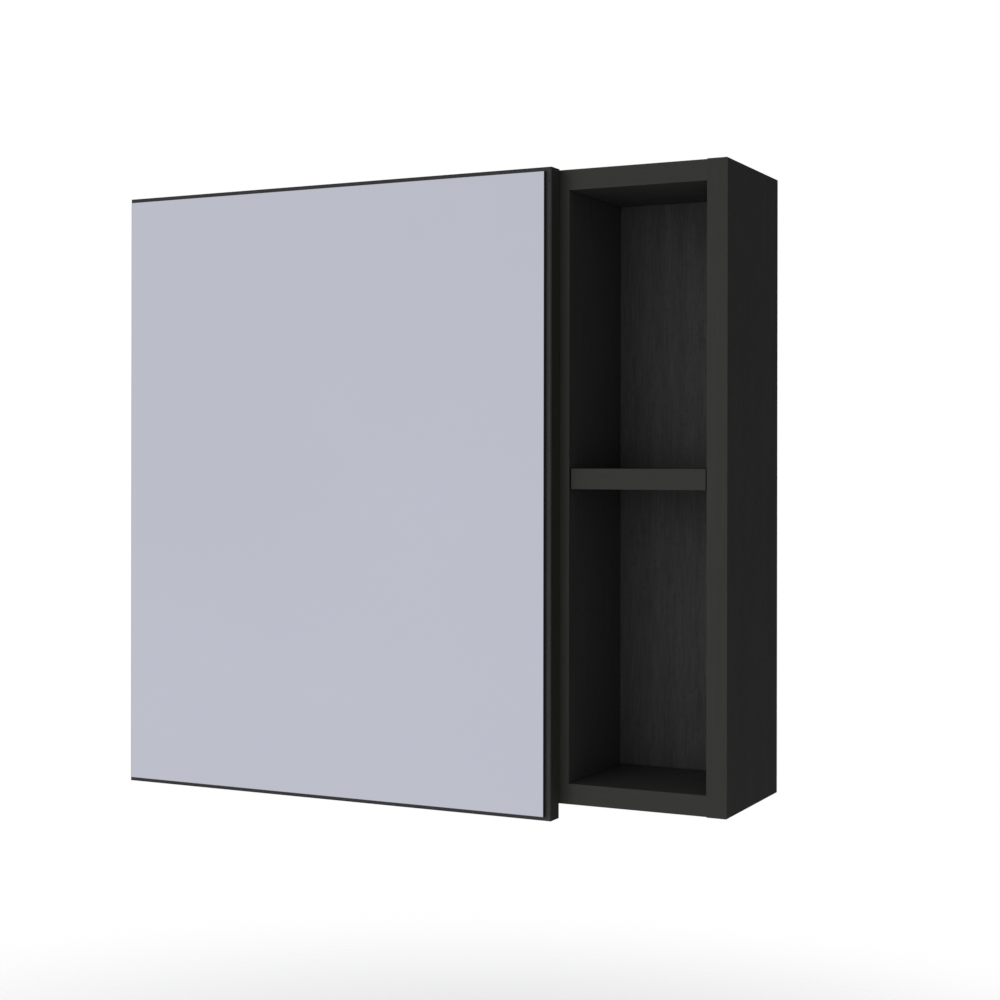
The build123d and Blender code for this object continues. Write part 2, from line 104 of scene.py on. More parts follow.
# How fine each pattern is, in features per metre.
RUBBED_PATCHES = 55.0
DUST_SPECKS = 2600.0
METAL_HAIRLINES = 5200.0
PLATING_MOTTLE = 420.0
WOOD_CHIPS = 720.0
WHEEL_MARKS = 3400.0
PAINT_PEEL = 520.0
FILM_SCRIM = 1500.0
MOULD_TEXTURE = 4200.0
PAD_CLOUDS = 900.0
DOWEL_GRAIN = 1100.0
FLOOR_SPECKLE = 60.0

# Each soft studio light: its place from the middle of the cabinet, and the length of its side.
LIGHTS = {
    "key_light": ((-0.55, -1.75, 0.25), 1.2),
    "fill_light": ((0.8, -1.7, -0.1), 1.0),
    "rim_light": ((-1.1, 1.5, 1.2), 1.6),
}


# ------------------------------------------------------------------ node benches
class Bench:
    """Places nodes in one tree and joins them."""

    def __init__(self, tree):
        self.tree = tree

    def add(self, kind, settings=None, **sockets):
        """Add a node, set its own settings and feed its named sockets."""
        node = self.tree.nodes.new(kind)
        for name, value in (settings or {}).items():
            setattr(node, name, value)
        for name, value in sockets.items():
            self.feed(node.inputs[name.replace("_", " ")], value)
        return node

    def feed(self, socket, value):
        """Link a socket into another one, or set its plain value."""
        if isinstance(value, bpy.types.NodeSocket):
            self.tree.links.new(value, socket)
        else:
            socket.default_value = value

    def sum(self, operation, first, second=0.0):
        """Do one sum on two values."""
        node = self.add("ShaderNodeMath", {"operation": operation})
        self.feed(node.inputs[0], first)
        self.feed(node.inputs[1], second)
        return node.outputs[0]

    def times(self, first, second):
        """Multiply two values."""
        return self.sum("MULTIPLY", first, second)

    def blend(self, factor, first, second):
        """Blend two colours."""
        node = self.add("ShaderNodeMix", {"data_type": "RGBA"})
        factor_input, first_input, second_input, output = 0, 6, 7, 2
        self.feed(node.inputs[factor_input], factor)
        self.feed(node.inputs[first_input], first)
        self.feed(node.inputs[second_input], second)
        return node.outputs[output]

    def between(self, factor, first, second):
        """Blend two values."""
        node = self.add("ShaderNodeMix", {"data_type": "FLOAT"})
        self.feed(node.inputs["Factor"], factor)
        self.feed(node.inputs["A"], first)
        self.feed(node.inputs["B"], second)
        return node.outputs["Result"]

    def span(self, value, low, high, to_low=0.0, to_high=1.0, smooth=False):
        """Carry a value from one range to another, clamped."""
        node = self.add("ShaderNodeMapRange", {"interpolation_type": "SMOOTHSTEP" if smooth else "LINEAR"})
        names = ("Value", "From Min", "From Max", "To Min", "To Max")
        for name, number in zip(names, (value, low, high, to_low, to_high)):
            self.feed(node.inputs[name], number)
        return node.outputs["Result"]

    def noise(self, place, scale, detail=2.0, roughness=0.5):
        """Soft noise at a place."""
        node = self.add("ShaderNodeTexNoise", Vector=place, Scale=scale, Detail=detail, Roughness=roughness)
        return node.outputs[0]

    def pattern(self, place, scale, detail=2.0, roughness=0.5):
        """Soft noise at a place, spread out from nought to one."""
        return self.span(self.noise(place, scale, detail, roughness), 0.3, 0.7)

    def stretch(self, place, amounts):
        """Scale a place along its axes."""
        node = self.add("ShaderNodeVectorMath", {"operation": "MULTIPLY"})
        self.feed(node.inputs[0], place)
        self.feed(node.inputs[1], amounts)
        return node.outputs[0]


def shared_group(name, inputs, outputs, build):
    """Make a shader node group once; build wires it from its input sockets and returns its outputs."""
    if name in bpy.data.node_groups:
        return bpy.data.node_groups[name]
    group = bpy.data.node_groups.new(name, "ShaderNodeTree")
    for socket_name, kind, default in inputs:
        socket = group.interface.new_socket(socket_name, in_out="INPUT", socket_type=kind)
        if default is not None:
            socket.default_value = default
    for socket_name in outputs:
        group.interface.new_socket(socket_name, in_out="OUTPUT", socket_type=VALUE)
    bench = Bench(group)
    entry = bench.add("NodeGroupInput")
    leave = bench.add("NodeGroupOutput")
    for socket_name, result in build(bench, entry.outputs).items():
        bench.feed(leave.inputs[socket_name], result)
    return group


def wood_grain():
    """Fine foil grain: long streaks, broad tone bands and short open pores."""
    def build(bench, given):
        fineness = given["Fineness"]
        drawn = bench.stretch(given["Place"], given["Run"])
        streaks = bench.span(bench.noise(drawn, fineness, 3.0, 0.62), 0.32, 0.68)
        bands = bench.pattern(drawn, bench.times(fineness, 0.16))
        shorter_run = bench.blend(0.12, given["Run"], WHITE)
        dashes = bench.stretch(given["Place"], shorter_run)
        pores = bench.span(bench.noise(dashes, bench.times(fineness, 1.7), 1.0, 0.4), 0.60, 0.70, smooth=True)
        tone = bench.between(0.35, streaks, bands)
        height = bench.sum("SUBTRACT", bench.times(streaks, 0.35), pores)
        return {"Tone": tone, "Pores": pores, "Height": height}

    inputs = [("Place", VECTOR, None), ("Run", VECTOR, GRAIN_UPRIGHT), ("Fineness", VALUE, 700.0)]
    return shared_group("wood_grain", inputs, ("Tone", "Pores", "Height"), build)


def edge_wear():
    """Where corners are rubbed: the normal of a rounded corner against the true one."""
    def build(bench, given):
        rounded = bench.add("ShaderNodeBevel", {"samples": 4}, Radius=given["Reach"]).outputs["Normal"]
        true = bench.add("ShaderNodeNewGeometry").outputs["True Normal"]
        facing = bench.add("ShaderNodeVectorMath", {"operation": "DOT_PRODUCT"})
        bench.feed(facing.inputs[0], rounded)
        bench.feed(facing.inputs[1], true)
        corner = bench.span(facing.outputs["Value"], 0.995, 0.86)
        patches = bench.span(bench.noise(given["Place"], RUBBED_PATCHES, 4.0, 0.65), 0.35, 0.65, 0.3, 1.0)
        return {"Worn": bench.times(bench.times(corner, patches), given["Amount"])}

    inputs = [("Place", VECTOR, None), ("Reach", VALUE, 0.8 * MM), ("Amount", VALUE, 0.5)]
    return shared_group("edge_wear", inputs, ("Worn",), build)


def crevice_painted_shade():
    """Painted shade where two faces meet: a mask that grows where ambient occlusion finds the surface closed
    in.
    """
    def build(bench, given):
        open_sky = bench.add("ShaderNodeAmbientOcclusion", {"samples": 4}, Distance=given["Reach"])
        # painted shade: the mask rises to 0.75 as the ambient occlusion falls from 0.62 to 0.42
        return {"PaintedShade": bench.span(open_sky.outputs["AO"], 0.62, 0.42, 0.0, 0.75)}

    return shared_group("crevice_painted_shade", [("Reach", VALUE, 3.0 * MM)], ("PaintedShade",), build)


def handling_marks():
    """Soft smears and fine dust that change the gloss from place to place."""
    def build(bench, given):
        smears = bench.span(bench.noise(given["Place"], given["Size"], 5.0, 0.6), 0.35, 0.7)
        specks = bench.span(bench.noise(given["Place"], DUST_SPECKS, 1.0), 0.66, 0.78)
        return {"Smears": smears, "Specks": specks}

    inputs = [("Place", VECTOR, None), ("Size", VALUE, 14.0)]
    return shared_group("handling_marks", inputs, ("Smears", "Specks"), build)


def drawn_metal():
    """Hairlines of rolled or turned metal, with a little mottling of the plating."""
    def build(bench, given):
        drawn = bench.stretch(given["Place"], given["Run"])
        hairlines = bench.pattern(drawn, METAL_HAIRLINES, 3.0, 0.7)
        return {"Hairlines": hairlines, "Mottle": bench.pattern(given["Place"], PLATING_MOTTLE, 3.0, 0.6)}

    inputs = [("Place", VECTOR, None), ("Run", VECTOR, GRAIN_UPRIGHT)]
    return shared_group("drawn_metal", inputs, ("Hairlines", "Mottle"), build)


# ------------------------------------------------------------------ materials
def blank_material(name):
    """Start a material: the bench, its Principled shader and the object's own coordinates."""
    material = bpy.data.materials.new(name)
    material.use_nodes = True
    material.node_tree.nodes.clear()
    bench = Bench(material.node_tree)
    surface = bench.add("ShaderNodeBsdfPrincipled")
    output = bench.add("ShaderNodeOutputMaterial")
    bench.feed(output.inputs["Surface"], surface.outputs["BSDF"])
    place = bench.add("ShaderNodeTexCoord").outputs["Object"]
    return material, bench, surface, place


def place_group(bench, group, **sockets):
    """Place a shared group in a material with its own values."""
    node = bench.add("ShaderNodeGroup", {"node_tree": group})
    for name, value in sockets.items():
        bench.feed(node.inputs[name], value)
    return node.outputs


def raise_surface(bench, surface, height, distance, strength=1.0):
    """Feed a height into the shader's normal through a bump."""
    bump = bench.add("ShaderNodeBump", Strength=strength, Distance=distance, Height=height)
    bench.feed(surface.inputs["Normal"], bump.outputs["Normal"])


def shade(colour, amount):
    """A colour made lighter or darker, with full alpha."""
    return (*[channel * amount for channel in colour[:3]], 1.0)


def around(bench, pattern, colour, spread):
    """A colour that a pattern carries from darker to lighter by a spread."""
    return bench.blend(pattern, shade(colour, 1.0 - spread), shade(colour, 1.0 + spread))


def board_material(name, run, contrast, settings):
    """Dark foil-faced board with fine grain, dust, rubbed corners and painted shade in its crevices."""
    material, bench, surface, place = blank_material(name)
    base = settings.foil_colour
    grain = place_group(bench, wood_grain(), Place=place, Run=run, Fineness=settings.grain_fineness)
    marks = place_group(bench, handling_marks(), Place=place, Size=9.0)
    worn = place_group(bench, edge_wear(), Place=place, Reach=0.7 * MM, Amount=0.3)["Worn"]
    painted_crevice_shade = place_group(bench, crevice_painted_shade(), Reach=3.0 * MM)["PaintedShade"]
    foil = around(bench, grain["Tone"], base, contrast)
    foil = bench.blend(bench.times(grain["Pores"], contrast), foil, shade(base, 0.35))
    foil = bench.blend(bench.times(marks["Specks"], 0.06), foil, shade(base, 2.2))
    foil = bench.blend(worn, foil, shade(base, 1.9))
    # painted shade: the foil darkens towards 0.3 of its colour where faces close in around a crevice
    foil = bench.blend(painted_crevice_shade, foil, shade(base, 0.3))
    low, high = settings.foil_roughness - 0.05, settings.foil_roughness + 0.07
    sheen = bench.span(marks["Smears"], 0.0, 1.0, low, high)
    bench.feed(surface.inputs["Base Color"], foil)
    bench.feed(surface.inputs["Roughness"], bench.sum("ADD", sheen, bench.times(grain["Pores"], 0.12)))
    surface.inputs["Specular IOR Level"].default_value = settings.foil_specular
    raise_surface(bench, surface, grain["Height"], 0.05 * MM, 0.45)
    return material


def core_material(settings):
    """Bare chip core of a board's unbanded rear edge."""
    material, bench, surface, place = blank_material("chip_core")
    base = settings.core_colour
    chips = bench.add("ShaderNodeTexVoronoi", Vector=bench.stretch(place, (1.0, 1.0, 0.6)), Scale=WOOD_CHIPS)
    chip_tone = bench.add("ShaderNodeSeparateColor", Color=chips.outputs["Color"]).outputs["Red"]
    colour = bench.blend(chip_tone, shade(base, 0.55), shade(base, 1.25))
    gaps = bench.span(chips.outputs["Distance"], 0.25, 0.75)
    colour = bench.blend(bench.times(gaps, 0.5), colour, shade(base, 0.35))
    bench.feed(surface.inputs["Base Color"], colour)
    bench.feed(surface.inputs["Roughness"], bench.span(chip_tone, 0.0, 1.0, 0.78, 0.92))
    raise_surface(bench, surface, chip_tone, 0.15 * MM, 0.7)
    return material


def band_material(name, run, settings):
    """Plastic edge band: the board's colour, smoother, with scraped hairlines."""
    material, bench, surface, place = blank_material(name)
    base = settings.band_colour
    fineness = settings.grain_fineness * 0.7
    grain = place_group(bench, wood_grain(), Place=place, Run=run, Fineness=fineness)
    marks = place_group(bench, handling_marks(), Place=place, Size=22.0)
    worn = place_group(bench, edge_wear(), Place=place, Reach=0.5 * MM, Amount=0.5)["Worn"]
    colour = around(bench, grain["Tone"], base, settings.band_contrast)
    colour = bench.blend(bench.times(marks["Specks"], 0.08), colour, shade(base, 2.4))
    colour = bench.blend(worn, colour, shade(base, 1.9))
    low, high = settings.band_roughness - 0.04, settings.band_roughness + 0.08
    bench.feed(surface.inputs["Base Color"], colour)
    bench.feed(surface.inputs["Roughness"], bench.span(marks["Smears"], 0.0, 1.0, low, high))
    surface.inputs["Specular IOR Level"].default_value = settings.foil_specular
    raise_surface(bench, surface, grain["Tone"], 0.02 * MM, 0.5)
    return material


def silver_material(settings):
    """The silvered face of the mirror, with a breath of handling."""
    material, bench, surface, place = blank_material("silvered_glass")
    tint = settings.silver_tint
    marks = place_group(bench, handling_marks(), Place=place, Size=6.0)
    film = bench.blend(marks["Smears"], shade(tint, 1.0), shade(tint, 0.985))
    film = bench.blend(bench.times(marks["Specks"], 0.05), film, shade(tint, 0.8))
    bench.feed(surface.inputs["Base Color"], film)
    bench.feed(surface.inputs["Roughness"], bench.span(marks["Smears"], 0.0, 1.0, 0.004, 0.022))
    surface.inputs["Metallic"].default_value = 1.0
    return material


def glass_edge_material(name, colour, low, high):
    """Ground or polished glass edge with fine wheel marks."""
    material, bench, surface, place = blank_material(name)
    wheel = bench.pattern(place, WHEEL_MARKS, 3.0, 0.7)
    bench.feed(surface.inputs["Base Color"], around(bench, wheel, colour, 0.2))
    bench.feed(surface.inputs["Roughness"], bench.span(wheel, 0.0, 1.0, low, high))
    raise_surface(bench, surface, wheel, 0.004 * MM, 0.6)
    return material


def back_paint_material(settings):
    """Grey protective paint on the back of the mirror, a little orange-peeled."""
    material, bench, surface, place = blank_material("mirror_back_paint")
    peel = bench.pattern(place, PAINT_PEEL, 3.0)
    bench.feed(surface.inputs["Base Color"], around(bench, peel, settings.paint_colour, 0.12))
    bench.feed(surface.inputs["Roughness"], bench.span(peel, 0.0, 1.0, 0.38, 0.52))
    raise_surface(bench, surface, peel, 0.02 * MM)
    return material


def tape_material(settings):
    """Double-sided film with a faint scrim."""
    material, bench, surface, place = blank_material("double_sided_film")
    scrim = bench.pattern(bench.stretch(place, (1.0, 1.0, 0.1)), FILM_SCRIM)
    bench.feed(surface.inputs["Base Color"], around(bench, scrim, settings.film_colour, 0.08))
    bench.feed(surface.inputs["Roughness"], bench.span(scrim, 0.0, 1.0, 0.35, 0.5))
    return material


def plated_material(name, colour, low, high):
    """Plated or cast metal with hairlines and bright rubbed corners."""
    material, bench, surface, place = blank_material(name)
    metal = place_group(bench, drawn_metal(), Place=place)
    worn = place_group(bench, edge_wear(), Place=place, Reach=0.3 * MM, Amount=0.55)["Worn"]
    tone = around(bench, metal["Mottle"], colour, 0.12)
    bench.feed(surface.inputs["Base Color"], bench.blend(worn, tone, shade(colour, 1.25)))
    bench.feed(surface.inputs["Roughness"], bench.span(metal["Hairlines"], 0.0, 1.0, low, high))
    surface.inputs["Metallic"].default_value = 1.0
    raise_surface(bench, surface, metal["Hairlines"], 0.008 * MM, 0.5)
    return material


def nickel_material(settings):
    """Nickel plate, made once and shared by every plated fitting."""
    name = "nickel_plate"
    if name in bpy.data.materials:
        return bpy.data.materials[name]
    return plated_material(name, settings.nickel_colour, 0.2, 0.36)


def lacquer_material(settings):
    """Black lacquer on steel, rubbed through to bare metal at its corners."""
    material, bench, surface, place = blank_material("black_lacquer")
    metal = place_group(bench, drawn_metal(), Place=place)
    worn = place_group(bench, edge_wear(), Place=place, Reach=0.3 * MM, Amount=0.55)["Worn"]
    tone = around(bench, metal["Mottle"], settings.lacquer_colour, 0.12)
    bench.feed(surface.inputs["Base Color"], bench.blend(worn, tone, shade(settings.nickel_colour, 0.8)))
    bench.feed(surface.inputs["Roughness"], bench.span(metal["Hairlines"], 0.0, 1.0, 0.32, 0.46))
    bench.feed(surface.inputs["Metallic"], worn)
    raise_surface(bench, surface, metal["Hairlines"], 0.008 * MM, 0.5)
    return material


def moulded_material(name, colour, low, high):
    """Moulded plastic or pressed ferrite with a fine texture."""
    material, bench, surface, place = blank_material(name)
    texture = bench.pattern(place, MOULD_TEXTURE)
    worn = place_group(bench, edge_wear(), Place=place, Reach=0.3 * MM, Amount=0.4)["Worn"]
    tone = around(bench, texture, colour, 0.1)
    bench.feed(surface.inputs["Base Color"], bench.blend(worn, tone, shade(colour, 2.0)))
    bench.feed(surface.inputs["Roughness"], bench.span(texture, 0.0, 1.0, low, high))
    raise_surface(bench, surface, texture, 0.01 * MM, 0.6)
    return material


def beech_material(settings):
    """Turned beech of the dowels, with flecks along the grain."""
    material, bench, surface, place = blank_material("beech")
    base = settings.beech_colour
    grain = place_group(bench, wood_grain(), Place=place, Run=GRAIN_DOWEL, Fineness=DOWEL_GRAIN)
    colour = around(bench, grain["Tone"], base, 0.18)
    bench.feed(surface.inputs["Base Color"], bench.blend(grain["Pores"], colour, shade(base, 0.5)))
    bench.feed(surface.inputs["Roughness"], bench.span(grain["Tone"], 0.0, 1.0, 0.55, 0.7))
    raise_surface(bench, surface, grain["Height"], 0.05 * MM)
    return material


def pad_material(settings):
    """Clear soft bumper, slightly milky."""
    material, bench, surface, place = blank_material("clear_pad")
    cloud = bench.pattern(place, PAD_CLOUDS)
    bench.feed(surface.inputs["Base Color"], around(bench, cloud, settings.pad_colour, 0.06))
    bench.feed(surface.inputs["Roughness"], bench.span(cloud, 0.0, 1.0, 0.16, 0.26))
    surface.inputs["Transmission Weight"].default_value = 0.6
    surface.inputs["IOR"].default_value = 1.45
    return material


# ------------------------------------------------------------------ shapes
def body_of_node(node):
    """The CAD body that holds a node."""
    for body, nodes in frame["record"]["behaviour"]["bodies"].items():
        if node in nodes:
            return body
    raise RuntimeError(node + " is in no body")


def welded_copy(node):
    """A bmesh of a CAD node with its split corners joined and its flat triangles merged."""
    shape = bmesh.new()
    shape.from_mesh(frame["nodes"][node].data)
    bmesh.ops.remove_doubles(shape, verts=shape.verts, dist=WELD_GAP)
    bmesh.ops.dissolve_limit(shape, angle_limit=math.radians(FLAT_BEND), verts=shape.verts, edges=shape.edges)
    return shape


def solid_boxes(node):
    """The low and high corners of each separate solid in a CAD node, from left to right."""
    shape = welded_copy(node)
    waiting = set(shape.verts)
    boxes = []
    while waiting:
        ready = [waiting.pop()]
        found = []
        while ready:
            vert = ready.pop()
            found.append(vert.co.copy())
            for edge in vert.link_edges:
                other = edge.other_vert(vert)
                if other in waiting:
                    waiting.remove(other)
                    ready.append(other)
        low = Vector([min(co[axis] for co in found) for axis in range(3)])
        high = Vector([max(co[axis] for co in found) for axis in range(3)])
        boxes.append((low, high))
    shape.free()
    return sorted(boxes, key=lambda pair: tuple(pair[0]))


def shade_edges(shape, smooth_bend, rounding):
    """Shade smooth across gentle bends only, and never from a rounded corner into the face beside it."""
    limit = math.radians(smooth_bend)
    for face in shape.faces:
        face.smooth = True
    for edge in shape.edges:
        rounded_sides = sum(face in rounding for face in edge.link_faces)
        edge.smooth = rounded_sides != 1 and edge.calc_face_angle(0.0) < limit


def finished_object(name, shape, node, materials, smooth_bend=SMOOTH_BEND, rounding=frozenset()):
    """Turn a bmesh into a piece that stands for a CAD node and rides on its body."""
    bmesh.ops.recalc_face_normals(shape, faces=shape.faces)
    shade_edges(shape, smooth_bend, rounding)
    mesh = bpy.data.meshes.new(name)
    shape.to_mesh(mesh)
    shape.free()
    for material in materials:
        mesh.materials.append(material)
    piece = bpy.data.objects.new(name, mesh)
    bpy.context.scene.collection.objects.link(piece)
    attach(piece, body_of_node(node))
    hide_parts(node)


def softened_piece(node, material, radius, rear_material=None):
    """A node's own shape with every sharp corner rounded; its rear edge may have a material of its own."""
    shape = welded_copy(node)
    limit = math.radians(CORNER_BEND)
    corners = [edge for edge in shape.edges if edge.is_manifold and edge.calc_face_angle(0.0) > limit]
    made = bmesh.ops.bevel(shape, geom=corners, offset=radius, segments=2, profile=0.5, affect="EDGES",
                           clamp_overlap=True)
    materials = [material]
    if rear_material:
        materials.append(rear_material)
        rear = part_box(node)[1][1]
        for face in shape.faces:
            if all(rear - vert.co[1] < PLANE_GAP for vert in face.verts):
                face.material_index = 1
    finished_object(node + "_finished", shape, node, materials, rounding=set(made["faces"]))


def lathe(shape, start, axis, profile, turns=40):
    """Spin (along, radius) points about an axis from start; a radius of nought closes the form."""
    direction = Vector(axis).normalized()
    side = direction.orthogonal().normalized()
    other = direction.cross(side)
    rings = []
    for along, radius in profile:
        middle = Vector(start) + direction * along
        if radius == 0.0:
            rings.append([shape.verts.new(middle)])
            continue
        ring = []
        for step in range(turns):
            angle = 2.0 * math.pi * step / turns
            spoke = side * math.cos(angle) + other * math.sin(angle)
            ring.append(shape.verts.new(middle + spoke * radius))
        rings.append(ring)
    for near, far in zip(rings, rings[1:]):
        for step in range(turns):
            after = (step + 1) % turns
            corners = (near[step % len(near)], near[after % len(near)],
                       far[after % len(far)], far[step % len(far)])
            unique = list(dict.fromkeys(corners))
            if len(unique) > 2:
                shape.faces.new(unique)


def rounded_corner(along, radius, size, steps=5):
    """Profile points that turn from a rod's side into its end face."""
    points = []
    for step in range(steps + 1):
        angle = math.pi / 2 * step / steps
        points.append((along - size + size * math.sin(angle), radius - size + size * math.cos(angle)))
    return points


# ------------------------------------------------------------------ settings
def colour_setting(name, description, default):
    """A colour property with its name, description and default."""
    return FloatVectorProperty(name=name, description=description, subtype="COLOR", size=3, min=0.0, max=1.0,
                               default=default)


def length_setting(name, description, default, limit=10.0):
    """A length property in metres."""
    return FloatProperty(name=name, description=description, subtype="DISTANCE", unit="LENGTH", min=0.0,
                         max=limit, default=default)


def factor_setting(name, description, default):
    """A property between nought and one."""
    return FloatProperty(name=name, description=description, subtype="FACTOR", min=0.0, max=1.0,
                         default=default)


def power_setting(name, description, default):
    """A light's power in watts."""
    return FloatProperty(name=name, description=description, unit="POWER", min=0.0, default=default)


def angle_setting(name, description, degrees):
    """An angle property whose default is given in degrees."""
    return FloatProperty(name=name, description=description, subtype="ANGLE", unit="ROTATION",
                         default=math.radians(degrees))


class CabinetBoardSettings(bpy.types.PropertyGroup):
    """Colours and grain of the boards and their edge bands."""

    foil_colour: colour_setting("Foil colour", "Mean colour of the board faces", (0.0355, 0.0352, 0.0325))
    band_colour: colour_setting("Band colour", "Mean colour of the edge bands", (0.0265, 0.0268, 0.0210))
    core_colour: colour_setting("Core colour", "Colour of bare chip core on rear edges", (0.36, 0.25, 0.15))
    grain_fineness: FloatProperty(name="Grain fineness", description="Streaks per metre across the grain",
                                  min=50.0, max=3000.0, default=720.0)
    grain_contrast: factor_setting("Grain contrast", "How far the boards' streaks differ from the mean", 0.17)
    back_contrast: factor_setting("Back panel contrast", "Grain contrast of the back panel", 0.32)
    band_contrast: factor_setting("Band contrast", "Grain contrast of the edge bands", 0.08)
    foil_roughness: factor_setting("Foil roughness", "Mean roughness of the board faces", 0.52)
    band_roughness: factor_setting("Band roughness", "Mean roughness of the edge bands", 0.46)
    foil_specular: factor_setting("Foil reflection", "Strength of the boards' plain reflection", 0.25)
    corner_radius: length_setting("Corner radius", "Rounding of board corners", 0.25 * MM, 2.0 * MM)
    band_radius: length_setting("Band radius", "Rounding of band corners", 0.18 * MM, 0.4 * MM)


class CabinetMirrorSettings(bpy.types.PropertyGroup):
    """The sheet of mirror glass, its back paint and its tape."""

    arris: length_setting("Arris", "Width of the polished front arris", 0.4 * MM, 3.0 * MM)
    arris_steps: IntProperty(name="Arris steps", description="Facets across the arris", min=1, max=12,
                             default=5)
    silver_tint: colour_setting("Silver tint", "Colour of the reflection", (0.925, 0.935, 0.945))
    edge_tint: colour_setting("Edge tint", "Colour of the ground glass edge", (0.012, 0.014, 0.0135))
    paint_colour: colour_setting("Back paint", "Colour of the paint behind the silver", (0.20, 0.21, 0.23))
    film_colour: colour_setting("Film colour", "Colour of the double-sided film", (0.70, 0.685, 0.63))


class CabinetFittingSettings(bpy.types.PropertyGroup):
    """Metal, plastic and wooden fittings."""

    metal_radius: length_setting("Metal edge radius", "Rounding of stamped metal edges", 0.12 * MM, MM)
    cast_radius: length_setting("Cast edge radius", "Rounding of cast and moulded edges", 0.2 * MM, MM)
    dowel_radius: length_setting("Dowel end radius", "Rounding of dowel ends", 0.5 * MM, MM)
    collar_radius: length_setting("Pin collar radius", "Radius of a shelf pin's collar", 3.0 * MM, 10.0 * MM)
    collar_thickness: length_setting("Pin collar thickness", "Thickness of a pin's collar", 0.7 * MM, MM)
    cap_dome: length_setting("Cap dome", "Rise of a cover cap's middle", 0.25 * MM, MM)
    nickel_colour: colour_setting("Nickel", "Colour of nickel plate", (0.53, 0.51, 0.48))
    zinc_colour: colour_setting("Zinc", "Colour of the cast cams", (0.38, 0.38, 0.39))
    lacquer_colour: colour_setting("Lacquer", "Colour of the hinges' black lacquer", (0.028, 0.028, 0.03))
    plastic_colour: colour_setting("Plastic", "Colour of the black plastic", (0.024, 0.0238, 0.0225))
    ferrite_colour: colour_setting("Ferrite", "Colour of the magnet", (0.045, 0.045, 0.048))
    beech_colour: colour_setting("Beech", "Colour of the dowels", (0.56, 0.385, 0.235))
    pad_colour: colour_setting("Pads", "Colour of the clear door pads", (0.77, 0.78, 0.77))


class CabinetStageSettings(bpy.types.PropertyGroup):
    """Floor, light and camera."""

    camera_right: length_setting("Camera right", "Distance right of the right side panel", 0.40683)
    camera_out: length_setting("Camera out", "Distance out from the carcass front", 1.24501)
    camera_up: length_setting("Camera up", "Height over the carcass bottom", 0.24882)
    camera_turn: angle_setting("Camera turn", "Turn to the left from straight ahead", 27.5138)
    camera_tilt: angle_setting("Camera tilt", "Tilt above the horizon", -0.0486)
    camera_roll: angle_setting("Camera roll", "Roll about the line of sight", 0.0776)
    lens: FloatProperty(name="Lens", description="Focal length in millimetres on a 36 mm sensor",
                        min=10.0, max=300.0, default=66.697)
    shift_x: FloatProperty(name="Shift right", description="Sideways lens shift", default=0.08)
    shift_y: FloatProperty(name="Shift up", description="Upward lens shift", default=-0.0359)
    floor_drop: length_setting("Floor drop", "Height of the cabinet over the floor", 0.32)
    floor_radius: length_setting("Floor radius", "Radius of the pale floor", 1.0)
    floor_glow: factor_setting("Floor glow", "Light that the floor gives off itself", 0.33)
    front_tone: colour_setting("Front light", "Studio light from the front", (0.545, 0.552, 0.628))
    side_tone: colour_setting("Side light", "Studio light from the sides and back", (0.075, 0.075, 0.076))
    top_tone: colour_setting("Top light", "Studio light from above", (0.46, 0.46, 0.47))
    floor_colour: colour_setting("Floor colour", "Mean colour of the pale floor", (0.83, 0.83, 0.82))
    key_power: power_setting("Key power", "Power of the soft key light", 15.0)
    fill_power: power_setting("Fill power", "Power of the soft light from the right", 5.0)
    rim_power: power_setting("Rim power", "Power of the soft light from behind", 9.0)


# ------------------------------------------------------------------ operators
class CABINET_OT_finish_boards(bpy.types.Operator):
    """Finish every board in dark foil with its grain along the board"""

    bl_idname = "cabinet.finish_boards"
    bl_label = "Finish Boards"

    def execute(self, context):
        settings = context.scene.cabinet_boards
        core = core_material(settings)
        families = (
            (UPRIGHT_BOARDS, GRAIN_UPRIGHT, settings.grain_contrast, "upright_foil"),
            (LEVEL_BOARDS, GRAIN_LEVEL, settings.grain_contrast, "level_foil"),
            (("back_panel",), GRAIN_UPRIGHT, settings.back_contrast, "back_panel_foil"),
        )
        for nodes, run, contrast, name in families:
            material = board_material(name, run, contrast, settings)
            for node in nodes:
                rear = core if node in BARE_REAR_BOARDS else None
                softened_piece(node, material, settings.corner_radius, rear)
        return {"FINISHED"}


class CABINET_OT_finish_bands(bpy.types.Operator):
    """Finish the plastic bands on every front edge and round the door"""

    bl_idname = "cabinet.finish_bands"
    bl_label = "Finish Edge Bands"

    def execute(self, context):
        settings = context.scene.cabinet_boards
        families = ((UPRIGHT_BANDS, GRAIN_UPRIGHT, "upright_band"), (LEVEL_BANDS, GRAIN_LEVEL, "level_band"))
        for nodes, run, name in families:
            material = band_material(name, run, settings)
            for node in nodes:
                softened_piece(node, material, settings.band_radius)
        return {"FINISHED"}


